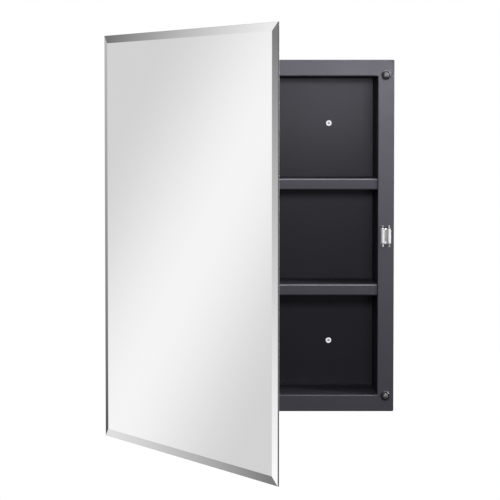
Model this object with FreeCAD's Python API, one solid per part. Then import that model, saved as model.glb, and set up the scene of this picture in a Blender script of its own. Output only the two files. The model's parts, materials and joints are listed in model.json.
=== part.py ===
import FreeCAD, Part
import math
import os

# Recessed medicine cabinet with a bevelled mirror door, in millimetres.
# +X points right, +Y into the wall and +Z up. The origin is the centre of the wall-screw pattern,
# in the plane of the cabinet's rear face. Depths in front of the flange are written as "ahead".

Vector = FreeCAD.Vector
up = Vector(0, 0, 1)
into_wall = Vector(0, 1, 0)
out_of_wall = Vector(0, -1, 0)
to_right = Vector(1, 0, 0)
to_left = Vector(-1, 0, 0)

# Cabinet shell and back
opening_width = 411.0
opening_height = 528.0
body_depth = 121.0
sheet = 1.0
flange_width = 27.5
hem_width = 6.0
inner_corner_radius = 2.0
outer_corner_radius = 2.5
flange_bend_radius = 2.0
flange_edge_radius = 0.9
rear_lip_width = 12.0

# Wall fixings
fixing_spacing_x = 260.0
fixing_spacing_z = 374.0
fixing_bore_radius = 2.25
grommet_neck_radius = 3.4
grommet_rim_radius = 4.75
grommet_rim_height = 1.5
grommet_tail_radius = 4.3
grommet_rounding = 0.5

# Shelves
upper_shelf_top = 95.0
lower_shelf_top = -80.5
shelf_lip_height = 18.5
shelf_lip_return = 6.0
shelf_fold_height = 12.0
shelf_setback = 3.0
shelf_back_clearance = 0.5
shelf_bend_radius = 2.4
shelf_rivet_inset = 24.0
shelf_rivet_drop = 6.5

# Rivets
rivet_shank_radius = 1.6
rivet_head_radius = 3.0
rivet_head_height = 0.8
rivet_tail_radius = 2.4
rivet_tail_height = 0.7
rivet_rounding = 0.5

# Continuous hinge
hinge_pin_radius = 1.0
hinge_running_clearance = 0.05
knuckle_radius = 2.0
knuckle_swing_clearance = 0.3
knuckle_pitch = 20.0
knuckle_end_clearance = 0.25
knuckle_side_clearance = 0.5
hinge_end_inset = 11.5
hinge_leaf_sheet = 0.8
hinge_leaf_width = 16.0
hinge_axis_inset = 1.5
hinge_rivet_offset = 9.5
hinge_rivet_pitch = 80.0

# Door
door_open_angle = 56.7
mirror_overhang_free = 41.5
mirror_overhang_hinge = 0.5
mirror_overhang_ends = 38.7
glass_thickness = 4.0
glass_edge_thickness = 2.1
bevel_width = 12.7
backing_thickness = 0.2
tape_thickness = 0.8
tape_width = 10.0
pan_sheet = 0.8
pan_lip_width = 14.0
pan_corner_radius = 3.0
pan_overlap_free = 2.0
pan_hinge_offset = 0.5
stiffener_width = 30.0
stiffener_foot_width = 9.0
stiffener_end_clearance = 3.0

# Double-roller catch
catch_plate = 1.2
catch_wall_sheet = 1.0
catch_wall_margin = 0.3
catch_tab_side = 1.9
catch_notch_width = 6.4
catch_notch_clearance = 0.3
roller_radius = 3.1
roller_length = 22.4
roller_end_clearance = 0.5
roller_running_clearance = 0.05
roller_web_clearance = 0.9
axle_radius = 0.9
axle_protrusion = 0.3
pivot_pin_radius = 0.8
pivot_running_clearance = 0.05
ear_sheet = 1.0
ear_radius = 1.9
ear_floor_clearance = 0.3
arm_web_width = 3.4
arm_web_setback = 1.2
spring_outer_radius = 2.1
spring_wire_radius = 0.4
spring_length = 3.7
spring_end_clearance = 0.2
catch_rivet_inset = 6.8
catch_rivet_radius = 1.2
catch_rivet_head_radius = 2.0
catch_rivet_head_height = 0.6

# Strike and its pocket in the door pan
strike_side_clearance = 0.5
strike_front_clearance = 1.5
strike_plate_width = 10.0
strike_plate_sheet = 1.0
strike_plate_inset = 3.0
strike_tongue_height = 16.0
strike_neck_width = 1.6
strike_head_width = 3.2
strike_head_length = 3.6
strike_tip_width = 1.2
strike_tip_clearance = 3.2
strike_screw_inset = 4.5
strike_screw_radius = 1.4
strike_screw_head_radius = 2.6
strike_screw_head_height = 1.3
screw_slot_width = 0.7
screw_slot_depth = 0.6
pocket_side_clearance = 5.2
pocket_end_clearance = 6.2

# Door bumpers
bumper_offset = 2.0
bumper_radius = 6.0
bumper_wall_height = 1.7
bumper_contact_clearance = 0.3
bumper_ring_clearance = 0.2
bumper_ring_radius = 8.0
bumper_ring_height = 1.2
bumper_ring_rounding = 0.5

# Cabinet and hinge sizes that follow from the ones above
flange_outer_width = opening_width + 2 * flange_width
flange_outer_height = opening_height + 2 * flange_width
back_panel_front = -2 * sheet
hinge_x = -flange_outer_width / 2 + hinge_axis_inset
hinge_ahead = knuckle_radius + knuckle_swing_clearance
door_gap = 2 * hinge_ahead
catch_x = opening_width / 2 + flange_width / 2
bumper_height = opening_height / 2 + bumper_offset

# Catch sizes that follow: rollers just clear of the strike, ears just clear of the plate
roller_spacing = 2 * roller_radius + strike_head_width + 2 * strike_side_clearance
catch_width = roller_spacing + 2 * roller_radius
pivot_ahead = catch_plate + ear_floor_clearance + ear_radius
arm_web_ahead = pivot_ahead - arm_web_setback
roller_ahead = arm_web_ahead + ear_sheet + roller_web_clearance + roller_radius
catch_wall_ahead = pivot_ahead + ear_radius + catch_wall_margin
ear_inner = roller_length / 2 + roller_end_clearance
ear_outer = ear_inner + ear_sheet
spring_start = ear_outer + spring_end_clearance
spring_stop = spring_start + spring_length
catch_height = 2 * (spring_stop + spring_end_clearance + catch_wall_sheet)
catch_rivet_height = catch_height / 2 - catch_rivet_inset

# Door sizes that follow: the pocket is deep enough for the strike to clear the rollers
strike_root_ahead = roller_ahead + roller_radius + strike_front_clearance
strike_tip_ahead = catch_plate + strike_tip_clearance
pocket_floor_ahead = strike_root_ahead + strike_plate_sheet
pocket_width = catch_width + 2 * pocket_side_clearance
pocket_height = catch_height + 2 * pocket_end_clearance
strike_plate_height = pocket_height - 2 * strike_plate_inset
strike_screw_height = strike_plate_height / 2 - strike_screw_inset
pan_front_ahead = pocket_floor_ahead + pan_sheet
backing_ahead = pan_front_ahead + tape_thickness
glass_ahead = backing_ahead + backing_thickness
mirror_left = -flange_outer_width / 2 - mirror_overhang_hinge
mirror_right = flange_outer_width / 2 + mirror_overhang_free
mirror_top = flange_outer_height / 2 + mirror_overhang_ends
pan_left = hinge_x + pan_hinge_offset
pan_right = flange_outer_width / 2 + pan_overlap_free
pan_top = flange_outer_height / 2
pan_middle = (pan_left + pan_right) / 2


# ---- Basic shapes ----

def y_ahead(ahead):
    return -(body_depth + ahead)


def block(x0, x1, y0, y1, z0, z1):
    return Part.makeBox(x1 - x0, y1 - y0, z1 - z0, Vector(x0, y0, z0))


def block_ahead(x0, x1, ahead0, ahead1, z0, z1):
    return block(x0, x1, y_ahead(ahead1), y_ahead(ahead0), z0, z1)


def upright_cylinder(x, ahead, radius, z0, z1):
    return Part.makeCylinder(radius, z1 - z0, Vector(x, y_ahead(ahead), z0), up)


def rounded_prism(x0, x1, z0, z1, y0, y1, radius):
    solid = block(x0, x1, y0, y1, z0, z1)
    along_y = [edge for edge in solid.Edges if abs(edge.tangentAt(edge.FirstParameter).y) > 0.9]
    return solid.makeFillet(radius, along_y)


def centred_prism(width, height, y0, y1, radius):
    return rounded_prism(-width / 2, width / 2, -height / 2, height / 2, y0, y1, radius)


def disc(centre, direction, radius, height, rounding=0.0):
    solid = Part.makeCylinder(radius, height, centre, direction)
    if rounding:
        rim_centre = centre + direction * height
        rim = [edge for edge in solid.Edges if edge.Closed and edge.CenterOfMass.isEqual(rim_centre, 1e-6)]
        solid = solid.makeFillet(rounding, rim)
    return solid


def edges_in_plane(solid, y, half_width, half_height):
    # The edges of one rounded rectangle, centred on the origin, that lies in the plane at y.
    found = []
    for edge in solid.Edges:
        box = edge.BoundBox
        if abs(box.YMin - y) > 1e-4 or abs(box.YMax - y) > 1e-4:
            continue
        reach_x = max(abs(box.XMin), abs(box.XMax))
        reach_z = max(abs(box.ZMin), abs(box.ZMax))
        inside = reach_x < half_width + 1e-4 and reach_z < half_height + 1e-4
        if inside and (abs(reach_x - half_width) < 1e-4 or abs(reach_z - half_height) < 1e-4):
            found.append(edge)
    return found


def level_edges(solid, y, shortest):
    # The straight edges along X that lie in the plane at y.
    found = []
    for edge in solid.Edges:
        box = edge.BoundBox
        in_plane = abs(box.YMin - y) < 1e-4 and abs(box.YMax - y) < 1e-4
        if in_plane and abs(box.ZMax - box.ZMin) < 1e-4 and box.XLength > shortest:
            found.append(edge)
    return found


def fused(solids):
    joined = solids[0].fuse(solids[1:])
    return joined.removeSplitter()


def rivet(place, direction, grip):
    # The head sits at place and points against direction; the tail is upset past the grip.
    head = disc(place, -direction, rivet_head_radius, rivet_head_height, rivet_rounding)
    shank = disc(place, direction, rivet_shank_radius, grip)
    tail = disc(place + direction * grip, direction, rivet_tail_radius, rivet_tail_height, rivet_rounding / 2)
    return fused([head, shank, tail])


def rivet_hole(place, direction, grip):
    return disc(place, direction, rivet_shank_radius, grip)


def swung_open(shape):
    turned = shape.copy()
    turned.rotate(Vector(hinge_x, y_ahead(hinge_ahead), 0), -up, door_open_angle)
    return turned


# ---- Cabinet ----

def hinge_rivet_heights():
    span = flange_outer_height - 2 * hinge_end_inset
    count = int(span / hinge_rivet_pitch)
    first = -(count - 1) * hinge_rivet_pitch / 2
    return [first + index * hinge_rivet_pitch for index in range(count)]


def cabinet_hinge_rivet_places():
    x = hinge_x + hinge_rivet_offset
    return [Vector(x, y_ahead(hinge_leaf_sheet), z) for z in hinge_rivet_heights()]


def shelf_rivet_places(shelf_top):
    # Inner faces of the side walls under one shelf, with the direction out through the wall.
    z = shelf_top - shelf_rivet_drop
    near = y_ahead(-shelf_setback) + shelf_rivet_inset
    far = back_panel_front - shelf_back_clearance - shelf_rivet_inset
    x = opening_width / 2 - sheet
    places = []
    for y in (near, far):
        places.append((Vector(-x, y, z), to_left))
        places.append((Vector(x, y, z), to_right))
    return places


def cabinet_shell():
    front = y_ahead(0)
    wall_width = opening_width + 2 * sheet
    wall_height = opening_height + 2 * sheet
    walls = centred_prism(wall_width, wall_height, front, 0, inner_corner_radius + sheet)
    flange = centred_prism(flange_outer_width, flange_outer_height, front, front + sheet, outer_corner_radius)
    hem = centred_prism(flange_outer_width, flange_outer_height, front + sheet, front + 2 * sheet,
                        outer_corner_radius)
    hem_inner_width = flange_outer_width - 2 * hem_width
    hem_inner_height = flange_outer_height - 2 * hem_width
    hem = hem.cut(centred_prism(hem_inner_width, hem_inner_height, front + sheet, front + 2 * sheet,
                                outer_corner_radius))
    hollow = centred_prism(opening_width, opening_height, front, -sheet, inner_corner_radius)
    window = centred_prism(opening_width - 2 * rear_lip_width, opening_height - 2 * rear_lip_width,
                           -sheet, 0, inner_corner_radius)
    shell = fused([walls, flange, hem]).cut(hollow).cut(window).removeSplitter()
    outer = flange_outer_width / 2, flange_outer_height / 2
    shell = shell.makeFillet(flange_bend_radius,
                             edges_in_plane(shell, front, opening_width / 2, opening_height / 2))
    shell = shell.makeFillet(flange_edge_radius, edges_in_plane(shell, front, *outer))
    shell = shell.makeFillet(flange_edge_radius, edges_in_plane(shell, front + 2 * sheet, *outer))
    holes = [rivet_hole(place, into_wall, hinge_leaf_sheet + sheet) for place in cabinet_hinge_rivet_places()]
    for shelf_top in (upper_shelf_top, lower_shelf_top):
        holes += [rivet_hole(place, direction, 2 * sheet) for place, direction in shelf_rivet_places(shelf_top)]
    holes += [disc(place, into_wall, catch_rivet_radius, catch_plate + sheet) for place in catch_rivet_places()]
    return shell.cut(holes)


def fixing_places(y):
    places = []
    for x in (-fixing_spacing_x / 2, fixing_spacing_x / 2):
        for z in (-fixing_spacing_z / 2, fixing_spacing_z / 2):
            places.append(Vector(x, y, z))
    return places


def back_panel():
    panel = centred_prism(opening_width, opening_height, back_panel_front, -sheet, inner_corner_radius)
    holes = [disc(place, into_wall, grommet_neck_radius, sheet) for place in fixing_places(back_panel_front)]
    return panel.cut(holes)


def wall_grommets():
    grommets = []
    for place in fixing_places(back_panel_front):
        rim = disc(place, out_of_wall, grommet_rim_radius, grommet_rim_height, grommet_rounding)
        neck = disc(place, into_wall, grommet_neck_radius, sheet)
        tail = disc(place + into_wall * sheet, into_wall, grommet_tail_radius, sheet)
        bore_start = place + out_of_wall * grommet_rim_height
        bore = disc(bore_start, into_wall, fixing_bore_radius, grommet_rim_height + 2 * sheet)
        grommets.append(fused([rim, neck, tail]).cut(bore))
    return grommets


def shelf(shelf_top):
    half = opening_width / 2
    front = y_ahead(-shelf_setback)
    back = back_panel_front - shelf_back_clearance
    bottom = shelf_top - shelf_lip_height
    fold = shelf_top - shelf_fold_height
    plate = block(-half, half, front, back, shelf_top - sheet, shelf_top)
    lip = block(-half, half, front, front + sheet, bottom, shelf_top)
    lip_return = block(-half, half, front, front + shelf_lip_return, bottom, bottom + sheet)
    rear_fold = block(-half, half, back - sheet, back, fold, shelf_top)
    left_fold = block(-half, -half + sheet, front, back, fold, shelf_top)
    right_fold = block(half - sheet, half, front, back, fold, shelf_top)
    tray = fused([plate, lip, lip_return, rear_fold, left_fold, right_fold])
    tray = tray.makeFillet(shelf_bend_radius - sheet, level_edges(tray, front + sheet, half))
    tray = tray.makeFillet(shelf_bend_radius, level_edges(tray, front, half))
    return tray.cut([rivet_hole(place, direction, 2 * sheet) for place, direction in shelf_rivet_places(shelf_top)])


def shelf_rivets(shelf_top):
    return [rivet(place, direction, 2 * sheet) for place, direction in shelf_rivet_places(shelf_top)]


# ---- Continuous hinge ----

def knuckle_spans(first):
    # Z spans of every second knuckle, starting with knuckle number first.
    length = flange_outer_height - 2 * hinge_end_inset
    count = int(length / knuckle_pitch)
    bottom = -count * knuckle_pitch / 2
    spans = []
    for index in range(first, count, 2):
        z = bottom + index * knuckle_pitch
        spans.append((z + knuckle_end_clearance, z + knuckle_pitch - knuckle_end_clearance))
    return spans


def hinge_half_length():
    return int((flange_outer_height - 2 * hinge_end_inset) / knuckle_pitch) * knuckle_pitch / 2


def hinge_leaf(first, ahead0, ahead1):
    half = hinge_half_length()
    leaf_start = hinge_x + knuckle_radius + knuckle_side_clearance
    pieces = [block_ahead(leaf_start, hinge_x + hinge_leaf_width, ahead0, ahead1, -half, half)]
    for z0, z1 in knuckle_spans(first):
        pieces.append(block_ahead(hinge_x, leaf_start, ahead0, ahead1, z0, z1))
        pieces.append(upright_cylinder(hinge_x, hinge_ahead, knuckle_radius, z0, z1))
    leaf = fused(pieces)
    return leaf.cut(upright_cylinder(hinge_x, hinge_ahead, hinge_pin_radius + hinge_running_clearance, -half, half))


def hinge_leaf_cabinet():
    leaf = hinge_leaf(0, 0, hinge_leaf_sheet)
    return leaf.cut([rivet_hole(place, into_wall, hinge_leaf_sheet) for place in cabinet_hinge_rivet_places()])


def hinge_rivets_cabinet():
    return [rivet(place, into_wall, hinge_leaf_sheet + sheet) for place in cabinet_hinge_rivet_places()]


def door_hinge_rivet_places():
    x = hinge_x + hinge_rivet_offset
    return [Vector(x, y_ahead(door_gap - hinge_leaf_sheet), z) for z in hinge_rivet_heights()]


def hinge_leaf_door():
    leaf = hinge_leaf(1, door_gap - hinge_leaf_sheet, door_gap)
    return leaf.cut([rivet_hole(place, out_of_wall, hinge_leaf_sheet) for place in door_hinge_rivet_places()])


def hinge_rivets_door():
    grip = hinge_leaf_sheet + pan_sheet
    return [rivet(place, out_of_wall, grip) for place in door_hinge_rivet_places()]


def hinge_pin():
    half = hinge_half_length()
    return upright_cylinder(hinge_x, hinge_ahead, hinge_pin_radius, -half, half)


# ---- Door, modelled shut ----

def pan_outline(ahead0, ahead1, inset, radius):
    return rounded_prism(pan_left + inset, pan_right - inset, -pan_top + inset, pan_top - inset,
                         y_ahead(ahead1), y_ahead(ahead0), radius)


def door_pan():
    back = door_gap
    front = pan_front_ahead
    tray = pan_outline(back, front, 0, pan_corner_radius)
    hollow = pan_outline(back + pan_sheet, front - pan_sheet, pan_sheet, pan_corner_radius - pan_sheet)
    window = pan_outline(front - pan_sheet, front, pan_lip_width, pan_corner_radius)
    tray = tray.cut([hollow, window])
    half_width = pocket_width / 2
    half_height = pocket_height / 2
    pocket = block_ahead(catch_x - half_width - pan_sheet, catch_x + half_width + pan_sheet, back, front,
                         -half_height - pan_sheet, half_height + pan_sheet)
    pocket_room = block_ahead(catch_x - half_width, catch_x + half_width, back, pocket_floor_ahead,
                              -half_height, half_height)
    tray = fused([tray, pocket]).cut(pocket_room)
    holes = [rivet_hole(place, out_of_wall, hinge_leaf_sheet + pan_sheet) for place in door_hinge_rivet_places()]
    holes += [disc(place, out_of_wall, strike_screw_radius, strike_plate_sheet + pan_sheet)
              for place in strike_screw_places()]
    return tray.cut(holes)


def door_stiffener():
    half = stiffener_width / 2
    top = pan_top - pan_lip_width - stiffener_end_clearance
    floor = door_gap + pan_sheet
    crown = block_ahead(pan_middle - half, pan_middle + half, floor, pan_front_ahead, -top, top)
    room = block_ahead(pan_middle - half + pan_sheet, pan_middle + half - pan_sheet, floor,
                       pan_front_ahead - pan_sheet, -top, top)
    feet = block_ahead(pan_middle - half - stiffener_foot_width, pan_middle + half + stiffener_foot_width,
                       floor, floor + pan_sheet, -top, top)
    return fused([crown, feet]).cut(room)


def mirror_tape():
    # Four strips on the pan's lips and one on the stiffener's crown.
    middle_inset = pan_lip_width / 2
    half = tape_width / 2
    left = pan_left + middle_inset
    right = pan_right - middle_inset
    top = pan_top - middle_inset
    low, high = pan_front_ahead, backing_ahead
    strips = [block_ahead(left - half, right + half, low, high, z - half, z + half) for z in (-top, top)]
    upright_reach = top - half
    for x in (left, right):
        strips.append(block_ahead(x - half, x + half, low, high, -upright_reach, upright_reach))
    crown_reach = pan_top - pan_lip_width - stiffener_end_clearance
    strips.append(block_ahead(pan_middle - half, pan_middle + half, low, high, -crown_reach, crown_reach))
    return strips


def mirror_backing():
    return block_ahead(mirror_left, mirror_right, backing_ahead, glass_ahead, -mirror_top, mirror_top)


def mirror_outline(ahead, inset):
    y = y_ahead(ahead)
    left, right = mirror_left + inset, mirror_right - inset
    top = mirror_top - inset
    corners = [Vector(left, y, -top), Vector(right, y, -top), Vector(right, y, top), Vector(left, y, top)]
    return Part.makePolygon(corners + corners[:1])


def mirror_glass():
    edge_ahead = glass_ahead + glass_edge_thickness
    slab = block_ahead(mirror_left, mirror_right, glass_ahead, edge_ahead, -mirror_top, mirror_top)
    face = mirror_outline(glass_ahead + glass_thickness, bevel_width)
    bevel = Part.makeLoft([mirror_outline(edge_ahead, 0), face], True, True)
    return fused([slab, bevel])


# ---- Catch ----

def catch_rivet_places():
    return [Vector(catch_x, y_ahead(catch_plate), z) for z in (-catch_rivet_height, catch_rivet_height)]


def catch_base():
    half_width = catch_width / 2
    half_height = catch_height / 2
    plate = block_ahead(catch_x - half_width, catch_x + half_width, 0, catch_plate, -half_height, half_height)
    pieces = [plate]
    for side in (-1, 1):
        z0, z1 = sorted((side * half_height, side * (half_height - catch_wall_sheet)))
        pieces.append(block_ahead(catch_x - half_width, catch_x + half_width, 0, catch_wall_ahead, z0, z1))
    base = fused(pieces)
    cuts = [disc(place, into_wall, catch_rivet_radius, catch_plate) for place in catch_rivet_places()]
    for side in (-1, 1):
        cuts.append(upright_cylinder(catch_x + side * roller_spacing / 2, pivot_ahead, pivot_pin_radius,
                                     -half_height, half_height))
        # Past the rollers each end is notched in the middle and cut in at the sides, which leaves two tabs.
        z0, z1 = sorted((side * (catch_rivet_height + catch_rivet_head_radius + catch_notch_clearance),
                         side * half_height))
        cuts.append(block_ahead(catch_x - catch_notch_width / 2, catch_x + catch_notch_width / 2,
                                0, catch_wall_ahead, z0, z1))
        tab_reach = roller_spacing / 2 + catch_tab_side
        cuts.append(block_ahead(catch_x - half_width, catch_x - tab_reach, 0, catch_wall_ahead, z0, z1))
        cuts.append(block_ahead(catch_x + tab_reach, catch_x + half_width, 0, catch_wall_ahead, z0, z1))
    return base.cut(cuts)


def catch_rivets():
    rivets = []
    for place in catch_rivet_places():
        head = disc(place, out_of_wall, catch_rivet_head_radius, catch_rivet_head_height, rivet_rounding / 2)
        shank = disc(place, into_wall, catch_rivet_radius, catch_plate + sheet)
        tail = disc(place + into_wall * (catch_plate + sheet), into_wall, rivet_tail_radius, rivet_tail_height)
        rivets.append(fused([head, shank, tail]))
    return rivets


def catch_pivot_pins():
    # A stub at each end of each arm, from the base's end wall to the inner face of the ear.
    pins = []
    for side in (-1, 1):
        x = catch_x + side * roller_spacing / 2
        for z0, z1 in ((-catch_height / 2, -ear_inner), (ear_inner, catch_height / 2)):
            pins.append(upright_cylinder(x, pivot_ahead, pivot_pin_radius, z0, z1))
    return pins


def spring_barrel(x, z0, z1):
    # A close-wound coil: round turns of wire side by side, joined where neighbours touch.
    middle_radius = spring_outer_radius - spring_wire_radius
    turns = int((z1 - z0) / (2 * spring_wire_radius))
    pitch = (z1 - z0) / turns
    seam = spring_wire_radius / 2
    core = upright_cylinder(x, pivot_ahead, middle_radius + seam, z0 + seam, z1 - seam)
    core = core.cut(upright_cylinder(x, pivot_ahead, middle_radius - seam, z0, z1))
    coils = [core]
    for turn in range(turns):
        centre = Vector(x, y_ahead(pivot_ahead), z0 + (turn + 0.5) * pitch)
        coils.append(Part.makeTorus(middle_radius, spring_wire_radius, centre, up))
    return fused(coils)


def catch_springs():
    springs = []
    for side in (-1, 1):
        x = catch_x + side * roller_spacing / 2
        springs.append(spring_barrel(x, spring_start, spring_stop))
        springs.append(spring_barrel(x, -spring_stop, -spring_start))
    return springs


def catch_arm(side):
    x = catch_x + side * roller_spacing / 2
    ear_spans = ((-ear_outer, -ear_inner), (ear_inner, ear_outer))
    pieces = [block_ahead(x - arm_web_width / 2, x + arm_web_width / 2, arm_web_ahead, arm_web_ahead + ear_sheet,
                          -ear_outer, ear_outer)]
    for z0, z1 in ear_spans:
        pieces.append(block_ahead(x - ear_radius, x + ear_radius, pivot_ahead, roller_ahead, z0, z1))
        pieces.append(upright_cylinder(x, pivot_ahead, ear_radius, z0, z1))
        pieces.append(upright_cylinder(x, roller_ahead, ear_radius, z0, z1))
    arm = fused(pieces)
    pivot_bore = pivot_pin_radius + pivot_running_clearance
    bores = [upright_cylinder(x, pivot_ahead, pivot_bore, z0, z1) for z0, z1 in ear_spans]
    bores.append(upright_cylinder(x, roller_ahead, axle_radius, -ear_outer, ear_outer))
    return arm.cut(bores)


def catch_axle(side):
    reach = ear_outer + axle_protrusion
    return upright_cylinder(catch_x + side * roller_spacing / 2, roller_ahead, axle_radius, -reach, reach)


def catch_roller(side):
    x = catch_x + side * roller_spacing / 2
    half = roller_length / 2
    roller = upright_cylinder(x, roller_ahead, roller_radius, -half, half)
    ends = [edge for edge in roller.Edges if edge.Closed]
    roller = roller.makeFillet(axle_radius / 2, ends)
    return roller.cut(upright_cylinder(x, roller_ahead, axle_radius + roller_running_clearance, -half, half))


def strike_screw_places():
    return [Vector(catch_x, y_ahead(strike_root_ahead), z) for z in (-strike_screw_height, strike_screw_height)]


def door_strike():
    # A plate on the pocket's floor with an arrow-headed tongue that passes between the rollers.
    root = strike_root_ahead
    plate = block_ahead(catch_x - strike_plate_width / 2, catch_x + strike_plate_width / 2, root,
                        pocket_floor_ahead, -strike_plate_height / 2, strike_plate_height / 2)
    tip = strike_tip_ahead
    shoulder = tip + strike_head_length / 2
    heel = tip + strike_head_length
    profile = [(-strike_neck_width / 2, root), (-strike_neck_width / 2, heel), (-strike_head_width / 2, shoulder),
               (-strike_tip_width / 2, tip), (strike_tip_width / 2, tip), (strike_head_width / 2, shoulder),
               (strike_neck_width / 2, heel), (strike_neck_width / 2, root)]
    corners = [Vector(catch_x + dx, y_ahead(ahead), -strike_tongue_height / 2) for dx, ahead in profile]
    face = Part.Face(Part.makePolygon(corners + corners[:1]))
    tongue = face.extrude(Vector(0, 0, strike_tongue_height))
    strike = fused([plate, tongue])
    return strike.cut([disc(place, out_of_wall, strike_screw_radius, strike_plate_sheet)
                       for place in strike_screw_places()])


def strike_screws():
    screws = []
    for place in strike_screw_places():
        head = disc(place, into_wall, strike_screw_head_radius, strike_screw_head_height, rivet_rounding)
        grip = strike_plate_sheet + pan_sheet
        shank = disc(place, out_of_wall, strike_screw_radius, grip)
        face = place + into_wall * (strike_screw_head_height - screw_slot_depth)
        reach = strike_screw_head_radius
        slots = [block(face.x - reach, face.x + reach, face.y, face.y + screw_slot_depth,
                       face.z - screw_slot_width / 2, face.z + screw_slot_width / 2)]
        screws.append(fused([head, shank]).cut(slots))
    return screws


# ---- Bumpers ----

def bumper_places():
    return [Vector(catch_x, y_ahead(0), z) for z in (-bumper_height, bumper_height)]


def door_bumpers():
    # A short cylinder with a shallow spherical crown, turned about its own axis.
    total = door_gap - bumper_contact_clearance
    cap_height = total - bumper_wall_height
    cap_radius = (bumper_radius ** 2 + cap_height ** 2) / (2 * cap_height)
    half_way = math.asin(bumper_radius / cap_radius) / 2
    shoulder = Vector(bumper_radius, 0, bumper_wall_height)
    crown = Vector(cap_radius * math.sin(half_way), 0, total - cap_radius * (1 - math.cos(half_way)))
    top = Vector(0, 0, total)
    flat = Part.makePolygon([top, Vector(0, 0, 0), Vector(bumper_radius, 0, 0), shoulder])
    outline = Part.Wire(flat.Edges + [Part.Arc(shoulder, crown, top).toShape()])
    dome = Part.Face(outline).revolve(Vector(0, 0, 0), up, 360)
    domes = []
    for place in bumper_places():
        seated = dome.copy()
        seated.rotate(Vector(0, 0, 0), to_right, 90)
        seated.translate(place)
        domes.append(seated)
    return domes


def bumper_rings():
    rings = []
    for place in bumper_places():
        ring = disc(place, out_of_wall, bumper_ring_radius, bumper_ring_height, bumper_ring_rounding)
        room = disc(place, out_of_wall, bumper_radius + bumper_ring_clearance, bumper_ring_height)
        rings.append(ring.cut(room))
    return rings


# ---- Assembly ----

fixed_nodes = {
    "cabinet_shell": cabinet_shell,
    "back_panel": back_panel,
    "wall_grommets": wall_grommets,
    "upper_shelf": lambda: shelf(upper_shelf_top),
    "lower_shelf": lambda: shelf(lower_shelf_top),
    "upper_shelf_rivets": lambda: shelf_rivets(upper_shelf_top),
    "lower_shelf_rivets": lambda: shelf_rivets(lower_shelf_top),
    "hinge_leaf_cabinet": hinge_leaf_cabinet,
    "hinge_rivets_cabinet": hinge_rivets_cabinet,
    "hinge_pin": hinge_pin,
    "catch_base": catch_base,
    "catch_rivets": catch_rivets,
    "catch_pivot_pins": catch_pivot_pins,
    "catch_springs": catch_springs,
    "catch_arm_left": lambda: catch_arm(-1),
    "catch_arm_right": lambda: catch_arm(1),
    "catch_axle_left": lambda: catch_axle(-1),
    "catch_axle_right": lambda: catch_axle(1),
    "catch_roller_left": lambda: catch_roller(-1),
    "catch_roller_right": lambda: catch_roller(1),
    "door_bumpers": door_bumpers,
    "bumper_rings": bumper_rings,
}

door_nodes = {
    "hinge_leaf_door": hinge_leaf_door,
    "hinge_rivets_door": hinge_rivets_door,
    "door_pan": door_pan,
    "door_stiffener": door_stiffener,
    "mirror_tape": mirror_tape,
    "mirror_backing": mirror_backing,
    "mirror_glass": mirror_glass,
    "door_strike": door_strike,
    "strike_screws": strike_screws,
}


def as_one_shape(made):
    if isinstance(made, list):
        return Part.makeCompound(made)
    return made


def write_node(name, shape):
    shape.exportStep(os.path.join("parts", name + ".step"))
    box = shape.BoundBox
    print("%-22s solids %2d  volume %10.1f  size %6.1f x %6.1f x %6.1f  valid %s" % (
        name, len(shape.Solids), shape.Volume, box.XLength, box.YLength, box.ZLength, shape.isValid()))


os.makedirs("parts", exist_ok=True)
for name, make in fixed_nodes.items():
    write_node(name, as_one_shape(make()))
for name, make in door_nodes.items():
    write_node(name, swung_open(as_one_shape(make())))
axis_y = y_ahead(hinge_ahead)
print("door hinge axis at x %.3f y %.3f, open %.1f degrees" % (hinge_x, axis_y, door_open_angle))
print("catch pivots at x %.3f and %.3f, y %.3f; rollers at y %.3f" % (
    catch_x - roller_spacing / 2, catch_x + roller_spacing / 2, y_ahead(pivot_ahead), y_ahead(roller_ahead)))
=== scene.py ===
import json
import math

import bmesh
import bpy
from mathutils import Matrix, Vector


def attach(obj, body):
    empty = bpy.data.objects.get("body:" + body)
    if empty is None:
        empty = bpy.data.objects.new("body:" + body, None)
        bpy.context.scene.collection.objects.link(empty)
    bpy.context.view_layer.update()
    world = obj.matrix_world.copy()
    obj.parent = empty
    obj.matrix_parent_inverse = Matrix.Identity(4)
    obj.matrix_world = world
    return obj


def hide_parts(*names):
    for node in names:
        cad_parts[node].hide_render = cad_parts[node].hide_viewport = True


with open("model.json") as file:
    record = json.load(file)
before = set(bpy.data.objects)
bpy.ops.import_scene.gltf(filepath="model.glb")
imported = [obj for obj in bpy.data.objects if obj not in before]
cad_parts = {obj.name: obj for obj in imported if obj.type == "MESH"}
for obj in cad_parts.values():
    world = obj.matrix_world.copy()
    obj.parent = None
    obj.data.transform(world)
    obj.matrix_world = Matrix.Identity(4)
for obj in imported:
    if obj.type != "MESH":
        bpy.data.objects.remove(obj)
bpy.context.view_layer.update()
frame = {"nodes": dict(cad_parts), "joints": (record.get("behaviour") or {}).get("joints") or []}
nodes = frame["nodes"]
scene = bpy.context.scene
mm = 0.001
print("cabinet frame loaded,", len(nodes), "parts")


# Node trees: a Wire is one node output, and arithmetic on it adds Math nodes.
# A Board adds nodes to one tree.

class Wire:
    def __init__(self, board, socket):
        self.board, self.socket = board, socket

    def maths(self, operation, *values):
        return self.board.add("ShaderNodeMath", {"operation": operation}, dict(enumerate(values)))

    def __add__(self, other):
        return self.maths("ADD", self, other)

    def __sub__(self, other):
        return self.maths("SUBTRACT", self, other)

    def __rsub__(self, other):
        return self.maths("SUBTRACT", other, self)

    def __mul__(self, other):
        return self.maths("MULTIPLY", self, other)

    __radd__ = __add__
    __rmul__ = __mul__


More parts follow.
